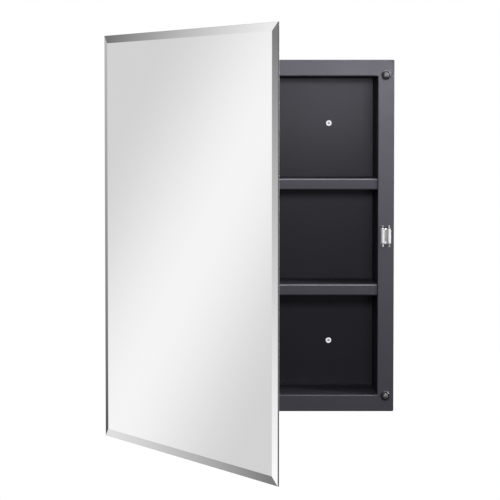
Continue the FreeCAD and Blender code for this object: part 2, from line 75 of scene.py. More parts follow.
class Board:
    def __init__(self, tree):
        self.tree = tree
        tree.nodes.clear()

    def add(self, kind, settings=None, inputs=None, output=0):
        node = self.tree.nodes.new(kind)
        for name, value in (settings or {}).items():
            if name == "stops":
                self.setStops(node.color_ramp, value)
            else:
                setattr(node, name, value)
        for key, value in (inputs or {}).items():
            if isinstance(value, Wire):
                self.tree.links.new(value.socket, node.inputs[key])
            else:
                node.inputs[key].default_value = value
        return Wire(self, node.outputs[output]) if len(node.outputs) else None

    def setStops(self, ramp, stops):
        while len(ramp.elements) < len(stops):
            ramp.elements.new(1.0)
        for element, (place, colour) in zip(ramp.elements, stops):
            element.position, element.color = place, colour

    def mixColours(self, factor, first, second):
        return self.add("ShaderNodeMix", {"data_type": "RGBA"}, {0: factor, 6: first, 7: second}, 2)

    def spread(self, value, low, high, toLow=0.0, toHigh=1.0):
        # smooth step of value from low..high to toLow..toHigh
        return self.add("ShaderNodeMapRange", {"interpolation_type": "SMOOTHSTEP"},
                        {"Value": value, "From Min": low, "From Max": high, "To Min": toLow, "To Max": toHigh})

    def ramp(self, value, low, high, toLow=0.0, toHigh=1.0):
        return self.add("ShaderNodeMapRange", {},
                        {"Value": value, "From Min": low, "From Max": high, "To Min": toLow, "To Max": toHigh})

    def stretch(self, place, scale):
        return self.add("ShaderNodeMapping", {}, {"Vector": place, "Scale": scale})

    def noise(self, place, scale, detail=2.0, roughness=0.5):
        return self.add("ShaderNodeTexNoise", {},
                        {"Vector": place, "Scale": scale, "Detail": detail, "Roughness": roughness})

    def cells(self, place, scale, output=0):
        return self.add("ShaderNodeTexVoronoi", {}, {"Vector": place, "Scale": scale}, output)

    def bump(self, height, strength, distance):
        return self.add("ShaderNodeBump", {}, {"Height": height, "Strength": strength, "Distance": distance})


def finishOf(name, fixed, varying):
    # fixed goes straight on the shader; varying(board, place) gives what changes over the surface
    material = bpy.data.materials.new(name)
    material.use_nodes = True
    board = Board(material.node_tree)
    place = board.add("ShaderNodeTexCoord", output="Object")
    shader = board.add("ShaderNodeBsdfPrincipled", {}, {**fixed, **varying(board, place)})
    board.add("ShaderNodeOutputMaterial", {}, {"Surface": shader})
    return material


# Coats: patterns are counted per metre, relief is the bump's strength and depth in metres

powderCoat = {"dark": (0.0074, 0.0068, 0.0089, 1), "light": (0.0100, 0.0092, 0.0119, 1), "rough": (0.42, 0.48),
              "gloss": 0.28}
panelCoat = {"dark": (0.0100, 0.0093, 0.0116, 1), "light": (0.0128, 0.0120, 0.0146, 1), "rough": (0.27, 0.33),
             "gloss": 0.044}
# the shelf's bend colour is a painted highlight for the glint along its front bends
shelfCoat = {"dark": (0.0092, 0.0084, 0.0112, 1), "light": (0.0124, 0.0114, 0.0148, 1), "rough": (0.50, 0.57),
             "gloss": 0.25, "bendHighlight": (0.062, 0.060, 0.066, 1)}
coatPattern = {"cloud": 9.0, "peel": 620.0, "grain": 3200.0, "flecks": 900.0, "fleckSize": 0.085,
               "fleckColour": (0.09, 0.09, 0.095, 1), "fleckShare": 0.35, "relief": (0.16, 0.00012),
               "tint": (0.96, 0.94, 1.08, 1)}


def coatFinish(name, coat):
    def varies(board, place):
        cloud = board.noise(place, coatPattern["cloud"], 3.0)
        peel = board.noise(place, coatPattern["peel"], 2.0, 0.45)
        grain = board.noise(place, coatPattern["grain"], 1.0)
        fleck = board.spread(board.cells(place, coatPattern["flecks"]), 0.0, coatPattern["fleckSize"], 1.0, 0.0)
        fleck = fleck * board.spread(cloud, 0.5, 0.62) * coatPattern["fleckShare"]
        colour = board.mixColours(cloud, coat["dark"], coat["light"])
        colour = board.mixColours(fleck, colour, coatPattern["fleckColour"])
        if "bendHighlight" in coat:
            # painted highlight: a lighter colour on the bends that face up and forward, where the top light glints,
            # broken up by the peel
            normal = board.add("ShaderNodeNewGeometry", output="Normal")
            forward, upward = (board.add("ShaderNodeSeparateXYZ", {}, {0: normal}, axis) for axis in ("Y", "Z"))
            bendHighlightMask = board.spread(forward * upward * -2.0, 0.3, 0.8)
            colour = board.mixColours(bendHighlightMask * board.ramp(peel, 0.2, 0.5, 0.75, 1.0), colour, coat["bendHighlight"])
        return {"Base Color": colour, "Roughness": board.ramp(cloud * 0.4 + peel * 0.6, 0.3, 0.7, *coat["rough"]),
                "Normal": board.bump(peel * 0.7 + grain * 0.3, *coatPattern["relief"])}
    return finishOf(name, {"Specular IOR Level": coat["gloss"], "Specular Tint": coatPattern["tint"]}, varies)


blackCoat = coatFinish("satinBlackPowderCoat", powderCoat)
panelBlack = coatFinish("mattBlackPanelCoat", panelCoat)
shelfBlack = coatFinish("satinBlackShelfCoat", shelfCoat)


# Cloudy finishes: one cloud carries tone, gloss and relief, unless a finer grain has the relief

def cloudyFinish(name, look, fixed=None):
    def varies(board, place):
        where = board.stretch(place, look["stretch"]) if "stretch" in look else place
        cloud = board.noise(where, look["cloud"], look["detail"])
        grain = board.noise(place, look["grain"], 1.0) if "grain" in look else cloud
        colour = board.mixColours(cloud, look["dark"], look["light"])
        if "dust" in look:
            dust = board.spread(board.noise(place, look["dust"], 1.0), 0.56, 0.72)
            colour = board.mixColours(dust * look["dustShare"], colour, look["dustColour"])
        return {"Base Color": colour, "Roughness": board.ramp(cloud, 0.3, 0.7, *look["rough"]),
                "Normal": board.bump(grain, *look["relief"])}
    return finishOf(name, fixed or {}, varies)


rivetPaint = {"dark": (0.018, 0.018, 0.019, 1), "light": (0.032, 0.032, 0.034, 1), "rough": (0.3, 0.44),
              "cloud": 700.0, "detail": 3.0, "relief": (0.1, 0.0001)}
grommetNylon = {"dark": (0.88, 0.88, 0.89, 1), "light": (0.93, 0.93, 0.94, 1), "rough": (0.38, 0.5),
                "cloud": 260.0, "detail": 3.0, "grain": 2600.0, "relief": (0.12, 0.00008)}
# grey of the grommet film: painted shade for the hollow of the bore
filmShadeGrey = {"dark": (0.20, 0.20, 0.21, 1), "light": (0.30, 0.30, 0.31, 1), "rough": (0.5, 0.62),
             "cloud": 420.0, "detail": 2.0, "relief": (0.1, 0.0001)}
ringGloss = {"dark": (0.004, 0.004, 0.005, 1), "light": (0.008, 0.008, 0.009, 1), "rough": (0.27, 0.33),
             "cloud": 500.0, "detail": 2.0, "relief": (0.06, 0.0001)}
domeRubber = {"dark": (0.022, 0.021, 0.025, 1), "light": (0.036, 0.035, 0.040, 1), "rough": (0.26, 0.36),
              "cloud": 340.0, "detail": 3.0, "relief": (0.1, 0.0001),
              "dust": 1500.0, "dustShare": 0.3, "dustColour": (0.08, 0.08, 0.085, 1)}
# near-black skirt colour: painted shade for the groove round the grey dome
grooveShadeRubber = {"dark": (0.003, 0.003, 0.004, 1), "light": (0.006, 0.006, 0.007, 1), "rough": (0.6, 0.72),
               "cloud": 420.0, "detail": 3.0, "relief": (0.12, 0.0001)}
groundEdge = {"dark": (0.026, 0.028, 0.0275, 1), "light": (0.052, 0.056, 0.055, 1), "rough": (0.08, 0.2),
              "cloud": 900.0, "detail": 2.0, "stretch": (1, 1, 0.1), "relief": (0.08, 0.0001)}

blackRivet = cloudyFinish("blackRivetPaint", rivetPaint)
whiteNylon = cloudyFinish("whiteGrommetNylon", grommetNylon, {"Specular IOR Level": 0.45})
grommetFilmShadeGrey = cloudyFinish("grommetFilmShadeGrey", filmShadeGrey)
ringNylon = cloudyFinish("blackRingNylon", ringGloss)
greyRubber = cloudyFinish("greyBumperRubber", domeRubber)
grooveShadeFinish = cloudyFinish("bumperGroovePaintedShade", grooveShadeRubber, {"Specular IOR Level": 0.12})
glassEdge = cloudyFinish("groundGlassEdge", groundEdge, {"IOR": 1.52})


foam = {"dark": (0.62, 0.62, 0.59, 1), "light": (0.74, 0.74, 0.71, 1), "rough": (0.8, 0.95), "cloud": 120.0,
        "pores": 1400.0, "relief": (0.5, 0.0003)}


def foamVaries(board, place):
    cloud = board.noise(place, foam["cloud"], 2.0)
    return {"Base Color": board.mixColours(cloud, foam["dark"], foam["light"]),
            "Roughness": board.ramp(cloud, 0.3, 0.7, *foam["rough"]),
            "Normal": board.bump(board.cells(place, foam["pores"]), *foam["relief"])}


foamTape = finishOf("closedCellFoam", {}, foamVaries)

backingFilm = {"dark": (0.19, 0.215, 0.225, 1), "light": (0.27, 0.295, 0.305, 1), "rough": (0.4, 0.55),
               "cloud": 14.0, "streak": 140.0, "stretch": (1, 1, 0.06), "relief": (0.1, 0.0001)}


def backingVaries(board, place):
    streak = board.noise(board.stretch(place, backingFilm["stretch"]), backingFilm["streak"], 3.0)
    cloud = board.noise(place, backingFilm["cloud"], 4.0)
    return {"Base Color": board.mixColours(streak * 0.5 + cloud * 0.5, backingFilm["dark"], backingFilm["light"]),
            "Roughness": board.ramp(streak, 0.3, 0.7, *backingFilm["rough"]),
            "Normal": board.bump(streak, *backingFilm["relief"])}


backingPaint = finishOf("mirrorBackingFilm", {}, backingVaries)


# Plated and bare metal: rolling streaks along Z, cloudy tone and fine pits

platePattern = {"cloud": 60.0, "pits": 4200.0, "relief": (0.08, 0.00008)}


def plateFinish(name, plate):
    def varies(board, place):
        streak = board.noise(board.stretch(place, (1, 1, plate["along"])), plate["streak"], 2.0, 0.6)
        cloud = board.noise(place, platePattern["cloud"], 3.0)
        pits = board.noise(place, platePattern["pits"], 1.0)
        mottle = streak * 0.6 + cloud * 0.4
        colour = board.mixColours(mottle, plate["dark"], plate["light"])
        if "tint" in plate:
            colour = board.mixColours(board.spread(cloud, 0.45, 0.7) * 0.4, colour, plate["tint"])
        return {"Base Color": colour, "Roughness": board.ramp(mottle, 0.35, 0.65, *plate["rough"]),
                "Normal": board.bump(streak * 0.7 + pits * 0.3, *platePattern["relief"])}
    return finishOf(name, {"Metallic": 1.0}, varies)


brightZinc = {"dark": (0.42, 0.43, 0.45, 1), "light": (0.56, 0.57, 0.59, 1), "rough": (0.26, 0.38), "streak": 1300.0,
              "along": 0.04, "tint": (0.60, 0.62, 0.72, 1)}
catchNickel = {"dark": (0.36, 0.355, 0.345, 1), "light": (0.46, 0.455, 0.445, 1), "rough": (0.40, 0.50),
               "streak": 2400.0, "along": 0.04}
baseNickel = {"dark": (0.13, 0.129, 0.128, 1), "light": (0.19, 0.189, 0.188, 1), "rough": (0.5, 0.6),
              "streak": 1500.0, "along": 0.04}
rivetMetal = {"dark": (0.42, 0.43, 0.44, 1), "light": (0.54, 0.55, 0.56, 1), "rough": (0.4, 0.5),
              "streak": 1800.0, "along": 0.4}
drawnWire = {"dark": (0.34, 0.34, 0.35, 1), "light": (0.46, 0.46, 0.47, 1), "rough": (0.24, 0.36),
             "streak": 3000.0, "along": 0.5}

zincPlate = plateFinish("brightZincPlate", brightZinc)
nickelPlate = plateFinish("nickelPlate", catchNickel)
dullNickel = plateFinish("dullNickelPlate", baseNickel)
aluminium = plateFinish("rivetAluminium", rivetMetal)
springWire = plateFinish("drawnSpringWire", drawnWire)

roller = {"dark": (0.265, 0.265, 0.27, 1), "light": (0.32, 0.32, 0.326, 1), "rough": (0.36, 0.46),
          "rings": 5200.0, "cloud": 300.0, "smudges": 240.0, "smudge": (0.30, 0.30, 0.30, 1), "smudgeShare": 0.3,
          "relief": (0.06, 0.00006)}


def rollerVaries(board, place):
    # turned nylon: fine rings round the axle, a little grey where the strike runs
    turned = board.noise(board.stretch(place, (0.03, 0.03, 1)), roller["rings"], 1.0)
    cloud = board.noise(place, roller["cloud"], 2.0)
    smudge = board.spread(board.noise(board.stretch(place, (0.2, 0.2, 1)), roller["smudges"], 2.0), 0.5, 0.7)
    colour = board.mixColours(turned, roller["dark"], roller["light"])
    return {"Base Color": board.mixColours(smudge * roller["smudgeShare"], colour, roller["smudge"]),
            "Roughness": board.ramp(turned * 0.5 + cloud * 0.5, 0.3, 0.7, *roller["rough"]),
            "Normal": board.bump(turned, *roller["relief"])}


rollerNylon = finishOf("turnedRollerNylon", {"Specular IOR Level": 0.45}, rollerVaries)

spangled = {"dark": (0.40, 0.42, 0.43, 1), "light": (0.60, 0.62, 0.63, 1), "rough": (0.34, 0.5),
            "spangles": 130.0, "grain": 900.0, "relief": (0.1, 0.0001)}


def galvanisedVaries(board, place):
    spangle = board.cells(place, spangled["spangles"], "Color")
    grain = board.noise(place, spangled["grain"], 2.0)
    return {"Base Color": board.mixColours(board.noise(spangle, 3.0), spangled["dark"], spangled["light"]),
            "Roughness": board.ramp(grain, 0.3, 0.7, *spangled["rough"]),
            "Normal": board.bump(grain, *spangled["relief"])}


galvanised = finishOf("galvanisedSheet", {"Metallic": 1.0}, galvanisedVaries)

silver = {"dark": (0.922, 0.923, 0.918, 1), "light": (0.941, 0.942, 0.937, 1), "haze": 5.0, "dust": 420.0,
          "dustSize": 0.05, "dustRough": 0.02, "faceRough": (0.006, 0.016), "bevelRough": (0.02, 0.035)}


def silverFinish(name, rough):
    def varies(board, place):
        haze = board.noise(place, silver["haze"], 4.0)
        dust = board.spread(board.cells(place, silver["dust"]), 0.0, silver["dustSize"], 1.0, 0.0)
        return {"Base Color": board.mixColours(haze, silver["dark"], silver["light"]),
                "Roughness": board.ramp(haze, 0.3, 0.7, *rough) + dust * silver["dustRough"]}
    return finishOf(name, {"Metallic": 1.0}, varies)


mirrorSilver = silverFinish("silveredMirrorFace", silver["faceRough"])
bevelSilver = silverFinish("silveredBevel", silver["bevelRough"])
print("finishes made:", len(bpy.data.materials))


# Finishes on the parts that stay as they are

partFinishes = {
    "cabinet_shell": blackCoat, "back_panel": panelBlack, "upper_shelf": shelfBlack, "lower_shelf": shelfBlack,
    "door_pan": blackCoat, "upper_shelf_rivets": blackRivet, "lower_shelf_rivets": blackRivet,
    "wall_grommets": whiteNylon, "hinge_leaf_cabinet": zincPlate, "hinge_leaf_door": zincPlate,
    "hinge_pin": zincPlate, "hinge_rivets_cabinet": aluminium, "hinge_rivets_door": aluminium,
    "catch_rivets": aluminium, "catch_base": dullNickel, "catch_arm_left": nickelPlate,
    "catch_arm_right": nickelPlate, "catch_axle_left": nickelPlate, "catch_axle_right": nickelPlate,
    "catch_pivot_pins": nickelPlate, "door_strike": nickelPlate, "strike_screws": nickelPlate,
    "catch_springs": springWire, "catch_roller_left": rollerNylon, "catch_roller_right": rollerNylon,
    "door_bumpers": greyRubber, "bumper_rings": ringNylon, "door_stiffener": galvanised,
    "mirror_tape": foamTape, "mirror_backing": backingPaint, "mirror_glass": mirrorSilver}

for name, part in nodes.items():
    part.data.materials.clear()
    part.data.materials.append(partFinishes[name])


# The door is drawn shut, then swung to where it stands open

doorHinge = next(joint for joint in frame["joints"] if joint["name"] == "door_hinge")
hingeAt = Vector(doorHinge["pos_m"])
doorSwing = (Matrix.Translation(hingeAt) @ Matrix.Rotation(math.radians(doorHinge["range_deg"][0]), 4, "Z")
             @ Matrix.Translation(-hingeAt))


def newPiece(name, mesh, finishes, body, replaced=(), sharp=35.0):
    for finish in finishes:
        mesh.materials.append(finish)
    mesh.polygons.foreach_set("use_smooth", [True] * len(mesh.polygons))
    mesh.set_sharp_from_angle(angle=math.radians(sharp))
    piece = bpy.data.objects.new(name, mesh)
    scene.collection.objects.link(piece)
    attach(piece, body)
    if replaced:
        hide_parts(*replaced)
    return piece


def meshFrom(shape, name):
    mesh = bpy.data.meshes.new(name)
    shape.to_mesh(mesh)
    shape.free()
    return mesh


# Mirror pane: silvered face, ground bevels with softened arrises, polished edge

mirrorPane = {"left": -233.5, "right": 274.5, "top": 330.2, "back": 135.6, "edge": 2.1, "thickness": 4.0,
              "bevel": 12.7, "arris": 0.5, "edgeChamfer": 0.25}


def paneMesh(size):
    rise = size["thickness"] - size["edge"]
    slope = rise / size["bevel"]
    # each row is inset from the outline, height above the back, finish of the band that follows
    rows = [(0.0, 0.0, 2), (0.0, size["edge"] - size["edgeChamfer"], 2),
            (size["edgeChamfer"], size["edge"] + size["edgeChamfer"] * slope, 1),
            (size["bevel"] - size["arris"], size["thickness"] - size["arris"] * slope, 1),
            (size["bevel"] + size["arris"] * 0.2, size["thickness"], 0)]
    shape = bmesh.new()
    loops = []
    for inset, height, _ in rows:
        left, right, top = size["left"] + inset, size["right"] - inset, size["top"] - inset
        loops.append([shape.verts.new(Vector((x, -(size["back"] + height), z)) * mm)
                      for x, z in ((left, -top), (right, -top), (right, top), (left, top))])
    for (lower, upper), (_, _, finish) in zip(zip(loops, loops[1:]), rows):
        for index in range(4):
            after = (index + 1) % 4
            face = shape.faces.new((lower[index], lower[after], upper[after], upper[index]))
            face.material_index = finish
    shape.faces.new(loops[-1]).material_index = 0
    shape.faces.new(reversed(loops[0])).material_index = 2
    shape.transform(doorSwing)
    bmesh.ops.recalc_face_normals(shape, faces=shape.faces)
    return meshFrom(shape, "mirrorPane")


newPiece("mirrorPane", paneMesh(mirrorPane), [mirrorSilver, bevelSilver, glassEdge], "door",
         ["mirror_glass"], sharp=1.0)
print("mirror pane made")


# Turned shapes, and rows of them set out by Geometry Nodes

def turnedShape(profile, segments, ring=False, bands=()):
    # profile is (radius, height) up the outside; a ring joins its last row to its first
    shape = bmesh.new()
    rows = []
    for radius, height in profile:
        steps = range(segments if radius > 0 else 1)
        rows.append([shape.verts.new((radius * mm * math.cos(math.tau * step / segments),
                                      radius * mm * math.sin(math.tau * step / segments), height * mm))
                     for step in steps])
    pairs = list(zip(rows, rows[1:])) + ([(rows[-1], rows[0])] if ring else [])
    for number, (lower, upper) in enumerate(pairs):
        for step in range(segments):
            after = (step + 1) % segments
            corners = [lower[step % len(lower)], lower[after % len(lower)],
                       upper[after % len(upper)], upper[step % len(upper)]]
            face = shape.faces.new(list(dict.fromkeys(corners)))
            face.material_index = bands[number] if bands else 0
    bmesh.ops.recalc_face_normals(shape, faces=shape.faces)
    return shape


def nodeTree(name, inputs):
    # inputs pairs a label with its socket kind; the tree takes and gives geometry as well
    tree = bpy.data.node_groups.new(name, "GeometryNodeTree")
    board = Board(tree)
    tree.interface.new_socket("Result", in_out="OUTPUT", socket_type="NodeSocketGeometry")
    for label, kind in [("Points", "NodeSocketGeometry")] + inputs:
        tree.interface.new_socket(label, in_out="INPUT", socket_type=kind)
    entry = tree.nodes.new("NodeGroupInput")
    return board, {socket.name: Wire(board, socket) for socket in entry.outputs if socket.name}


def endTree(board, wires, instance):
    # every point gets the instance, turned so that its Z follows the point's facing
    facing = board.add("GeometryNodeInputNamedAttribute", {"data_type": "FLOAT_VECTOR"}, {"Name": "facing"})
    lean = board.add("FunctionNodeAlignRotationToVector", {"axis": "Z"}, {"Vector": facing})
    twist = board.add("FunctionNodeRandomValue", {"data_type": "FLOAT"}, {2: 0.0, 3: wires["Twist"], "Seed": 4}, 1)
    ownTurn = board.add("ShaderNodeCombineXYZ", {}, {"Z": twist})
    turn = board.add("FunctionNodeRotateRotation", {"rotation_space": "LOCAL"}, {0: lean, 1: ownTurn})
    spread = board.add("GeometryNodeInstanceOnPoints", {},
                       {"Points": wires["Points"], "Instance": instance, "Rotation": turn})
    solid = board.add("GeometryNodeRealizeInstances", {}, {"Geometry": spread})
    painted = board.add("GeometryNodeSetMaterial", {}, {"Geometry": solid, "Material": wires["Finish"]})
    board.add("NodeGroupOutput", {}, {"Result": painted})
    return board.tree


def headRowTree():
    board, wires = nodeTree("headRow", [("Head", "NodeSocketObject"), ("Twist", "NodeSocketFloat"),
                                        ("Finish", "NodeSocketMaterial")])
    head = board.add("GeometryNodeObjectInfo", {}, {"Object": wires["Head"], "As Instance": True}, "Geometry")
    return endTree(board, wires, head)


def coilRowTree():
    board, wires = nodeTree("coilRow", [("Turns", "NodeSocketFloat"), ("Radius", "NodeSocketFloat"),
                                        ("Length", "NodeSocketFloat"), ("Wire", "NodeSocketFloat"),
                                        ("Twist", "NodeSocketFloat"), ("Finish", "NodeSocketMaterial")])
    helix = board.add("GeometryNodeCurveSpiral", {},
                      {"Resolution": 36, "Rotations": wires["Turns"], "Start Radius": wires["Radius"],
                       "End Radius": wires["Radius"], "Height": wires["Length"]})
    section = board.add("GeometryNodeCurvePrimitiveCircle", {"mode": "RADIUS"},
                        {"Resolution": 12, "Radius": wires["Wire"]})
    coil = board.add("GeometryNodeCurveToMesh", {}, {"Curve": helix, "Profile Curve": section, "Fill Caps": True})
    return endTree(board, wires, coil)


def rowMesh(name, tree, values, places, facings):
    # places in millimetres; the modifier's result becomes one plain mesh
    points = bpy.data.meshes.new(name)
    points.from_pydata([Vector(place) * mm for place in places], [], [])
    facing = points.attributes.new("facing", "FLOAT_VECTOR", "POINT")
    facing.data.foreach_set("vector", [part for direction in facings for part in direction])
    holder = bpy.data.objects.new(name, points)
    scene.collection.objects.link(holder)
    modifier = holder.modifiers.new(name, "NODES")
    modifier.node_group = tree
    for item in tree.interface.items_tree:
        if item.in_out == "INPUT" and item.name in values:
            modifier[item.identifier] = values[item.name]
    holder.update_tag()
    result = bpy.data.meshes.new_from_object(holder.evaluated_get(bpy.context.evaluated_depsgraph_get()))
    result.name = name
    holder.modifiers.remove(modifier)
    bpy.data.objects.remove(holder)
    for attribute in [one for one in result.attributes if one.name == "facing"]:
        result.attributes.remove(attribute)
    return result


headRow = headRowTree()
coilRow = coilRowTree()


def headsMesh(name, shape, finish, places, facings):
    # each head gets its own turn about its shank
    pattern = bpy.data.objects.new(name + "Pattern", meshFrom(shape, name + "Pattern"))
    scene.collection.objects.link(pattern)
    mesh = rowMesh(name, headRow, {"Head": pattern, "Twist": math.tau, "Finish": finish}, places, facings)
    bpy.data.objects.remove(pattern)
    return mesh


# Blind rivets: domed flange with the broken mandrel in its hollow, shank, and upset tail

rivetSizes = {"head": 3.0, "headHeight": 0.8, "shank": 1.6, "tail": 2.4, "tailHeight": 0.7, "facets": 28}
catchRivetSizes = {**rivetSizes, "head": 2.0, "headHeight": 0.6, "shank": 1.2}


def rivetShape(size, grip):
    head, high, shank = size["head"], size["headHeight"], size["shank"]
    tail, tailHigh = size["tail"], size["tailHeight"]
    hollow = shank * 0.62
    profile = [(0, -grip - tailHigh), (tail * 0.45, -grip - tailHigh), (tail * 0.82, -grip - tailHigh * 0.86),
               (tail * 0.97, -grip - tailHigh * 0.5), (tail, -grip - tailHigh * 0.25), (tail * 0.9, -grip),
               (shank, -grip), (shank, 0), (head * 0.97, 0), (head, high * 0.12), (head * 0.985, high * 0.3),
               (head * 0.9, high * 0.55), (head * 0.74, high * 0.8), (head * 0.55, high * 0.96),
               (hollow * 1.25, high), (hollow * 1.08, high * 0.94), (hollow, high * 0.8),
               (hollow * 0.96, high * 0.35), (hollow * 0.86, high * 0.3), (hollow * 0.8, high * 0.45),
               (hollow * 0.62, high * 0.6), (hollow * 0.3, high * 0.66), (0, high * 0.62)]
    return turnedShape(profile, size["facets"])


hingeRow = {"x": -222.0, "heights": [80.0 * step for step in range(-3, 4)], "leafFront": -121.8,
            "cabinetGrip": 1.8, "doorBack": -124.8, "doorGrip": 1.6}
toFront, toWall, toLeft, toRight = (0, -1, 0), (0, 1, 0), (-1, 0, 0), (1, 0, 0)

mesh = headsMesh("hingeRivetsCabinet", rivetShape(rivetSizes, hingeRow["cabinetGrip"]), aluminium,
                 [(hingeRow["x"], hingeRow["leafFront"], z) for z in hingeRow["heights"]],
                 [toFront] * len(hingeRow["heights"]))
newPiece("hingeRivetsCabinet", mesh, [], "cabinet", ["hinge_rivets_cabinet"])

mesh = headsMesh("hingeRivetsDoor", rivetShape(rivetSizes, hingeRow["doorGrip"]), aluminium,
                 [(hingeRow["x"], hingeRow["doorBack"], z) for z in hingeRow["heights"]],
                 [toWall] * len(hingeRow["heights"]))
mesh.transform(doorSwing)
newPiece("hingeRivetsDoor", mesh, [], "door", ["hinge_rivets_door"])

shelfRow = {"upper": 88.5, "lower": -87.0, "wall": 204.5, "depths": (-94.0, -26.5), "grip": 2.0}
for label in ("upper", "lower"):
    places = [(side * shelfRow["wall"], y, shelfRow[label]) for side in (-1, 1) for y in shelfRow["depths"]]
    mesh = headsMesh(label + "ShelfRivets", rivetShape(rivetSizes, shelfRow["grip"]), blackRivet, places,
                     [toRight, toRight, toLeft, toLeft])
    newPiece(label + "ShelfRivets", mesh, [], "cabinet", [label + "_shelf_rivets"])

catchRow = {"x": 219.25, "plateFront": -122.2, "rivetHeight": 11.0, "grip": 2.2, "spacing": 10.4,
            "pivotY": -124.4, "coilStart": 12.9, "coilLength": 3.7}
mesh = headsMesh("catchRivets", rivetShape(catchRivetSizes, catchRow["grip"]), aluminium,
                 [(catchRow["x"], catchRow["plateFront"], side * catchRow["rivetHeight"]) for side in (-1, 1)],
                 [toFront] * 2)
newPiece("catchRivets", mesh, [], "cabinet", ["catch_rivets"])
print("rivets made")


# Torsion springs on the pivots of the catch

coil = {"turns": 2.75, "radius": 1.7, "wire": 0.4, "twist": 1.1}
coilPlaces = [(catchRow["x"] + side * catchRow["spacing"] / 2, catchRow["pivotY"],
               end * (catchRow["coilStart"] + coil["wire"]))
              for side in (-1, 1) for end in (-1, 1)]
mesh = rowMesh("catchSprings", coilRow,
               {"Turns": coil["turns"], "Radius": coil["radius"] * mm, "Wire": coil["wire"] * mm,
                "Length": (catchRow["coilLength"] - 2 * coil["wire"]) * mm, "Twist": coil["twist"],
                "Finish": springWire},
               coilPlaces, [(0, 0, -1), (0, 0, 1)] * 2)
newPiece("catchSprings", mesh, [], "cabinet", ["catch_springs"], sharp=60.0)
print("springs made")


# Bumpers: grey dome whose skirt is painted near-black as shade in the groove, in a black ring with a wide chamfer

bumper = {"x": 219.25, "flange": -121.0, "heights": (-266.0, 266.0), "dome": 4.7, "skirt": 6.0, "wall": 1.7,
          "total": 4.3, "domeFacets": 40, "ringInner": 6.2, "ringOuter": 8.0, "ringHeight": 1.2, "ringFacets": 64}


def domeShape():
    dome, skirt, wall, total = bumper["dome"], bumper["skirt"], bumper["wall"], bumper["total"]
    # rows up the crown, from the edge of the grey cap to its middle
    lifts = [step * math.pi / 20 for step in range(1, 10)]
    crown = [(dome * math.cos(lift), wall + (total - wall) * math.sin(lift) ** 0.9) for lift in lifts]
    profile = ([(0, 0), (skirt * 0.96, 0), (skirt, 0.2), (skirt, wall * 0.45), (skirt * 0.97, wall * 0.58),
                (dome * 1.04, wall * 0.66), (dome, wall * 0.8), (dome, wall)] + crown + [(0, total)])
    return turnedShape(profile, bumper["domeFacets"], bands=[1] * 6 + [0] * 11)


def ringShape():
    inner, outer, high = bumper["ringInner"], bumper["ringOuter"], bumper["ringHeight"]
    # glossy outer chamfer, then a dull crest and inner side in the same near-black finish as the dome's skirt
    profile = [(outer, 0), (outer, high * 0.23), (outer - 0.04, high * 0.30), (outer - 0.12, high * 0.36),
               (outer - 0.16, high * 0.38), (outer - 1.14, high * 0.885), (outer - 1.18, high * 0.905),
               (inner + 0.5, high * 0.97), (inner + 0.35, high), (inner + 0.2, high * 0.965),
               (inner + 0.06, high * 0.67), (inner, high * 0.42), (inner, 0)]
    return turnedShape(profile, bumper["ringFacets"], ring=True, bands=[0] * 6 + [1] * 7)


def standOnFlange(shape, height):
    shape.transform(Matrix.Translation(Vector((bumper["x"], bumper["flange"], height)) * mm)
                    @ Matrix.Rotation(math.pi / 2, 4, "X"))
    return shape


def joined(name, shapes):
    whole = bmesh.new()
    for shape in shapes:
        part = meshFrom(shape, name)
        whole.from_mesh(part)
        bpy.data.meshes.remove(part)
    return meshFrom(whole, name)


newPiece("bumperDomes", joined("bumperDomes", [standOnFlange(domeShape(), z) for z in bumper["heights"]]),
         [greyRubber, grooveShadeFinish], "cabinet", ["door_bumpers"], sharp=50.0)
newPiece("bumperRings", joined("bumperRings", [standOnFlange(ringShape(), z) for z in bumper["heights"]]),
         [ringNylon, grooveShadeFinish], "cabinet", ["bumper_rings"], sharp=50.0)
print("bumpers made")


# Thin moulded film across the bore of each wall grommet; its grey, far darker than the white nylon round it, is
# painted shade for the inside of the bore

film = {"reachX": 130.0, "reachZ": 187.0, "y": -2.9, "radius": 2.24, "facets": 28}
filmProfile = [(0, -0.16), (1.2, -0.16), (2.0, -0.12), (film["radius"], -0.1), (film["radius"], 0.16), (2.0, 0.1),
               (1.2, 0.02), (0.5, 0.0), (0, 0.03)]
mesh = headsMesh("grommetFilms", turnedShape(filmProfile, film["facets"]), grommetFilmShadeGrey,
                 [(x * film["reachX"], film["y"], z * film["reachZ"]) for x in (-1, 1) for z in (-1, 1)],
                 [toFront] * 4)
newPiece("grommetFilms", mesh, [], "cabinet")
print("grommet films made")


# Stage: pale floor, graded surround, soft lights and one gradient card for the mirror to show

stageFloor = {"height": -1.35, "reach": 9.0, "cloud": 0.8, "dark": (1.0, 1.0, 1.0, 1),
              "light": (1.04, 1.04, 1.04, 1)}


def emissionOf(name, colourOf):
    material = bpy.data.materials.new(name)
    material.use_nodes = True
    board = Board(material.node_tree)
    place = board.add("ShaderNodeTexCoord", output="Object")
    glow = board.add("ShaderNodeEmission", {}, {"Color": colourOf(board, place)})
    board.add("ShaderNodeOutputMaterial", {}, {"Surface": glow})
    return material


def flatStage(name, halfWidth, halfHeight, place, material, unseenBy):
    shape = bmesh.new()
    bmesh.ops.create_grid(shape, x_segments=1, y_segments=1, size=1.0)
    shape.transform(Matrix.Diagonal((halfWidth, halfHeight, 1, 1)))
    card = bpy.data.objects.new(name, meshFrom(shape, name))
    card.data.materials.append(material)
    scene.collection.objects.link(card)
    card.matrix_world = place
    for rays in unseenBy:
        setattr(card, "visible_" + rays, False)


def floorColour(board, place):
    return board.mixColours(board.noise(place, stageFloor["cloud"], 2.0), stageFloor["dark"], stageFloor["light"])


flatStage("paleFloor", stageFloor["reach"], stageFloor["reach"], Matrix.Translation((0, 0, stageFloor["height"])),
          emissionOf("paleFloorPaint", floorColour), ("diffuse", "glossy", "transmission", "shadow"))

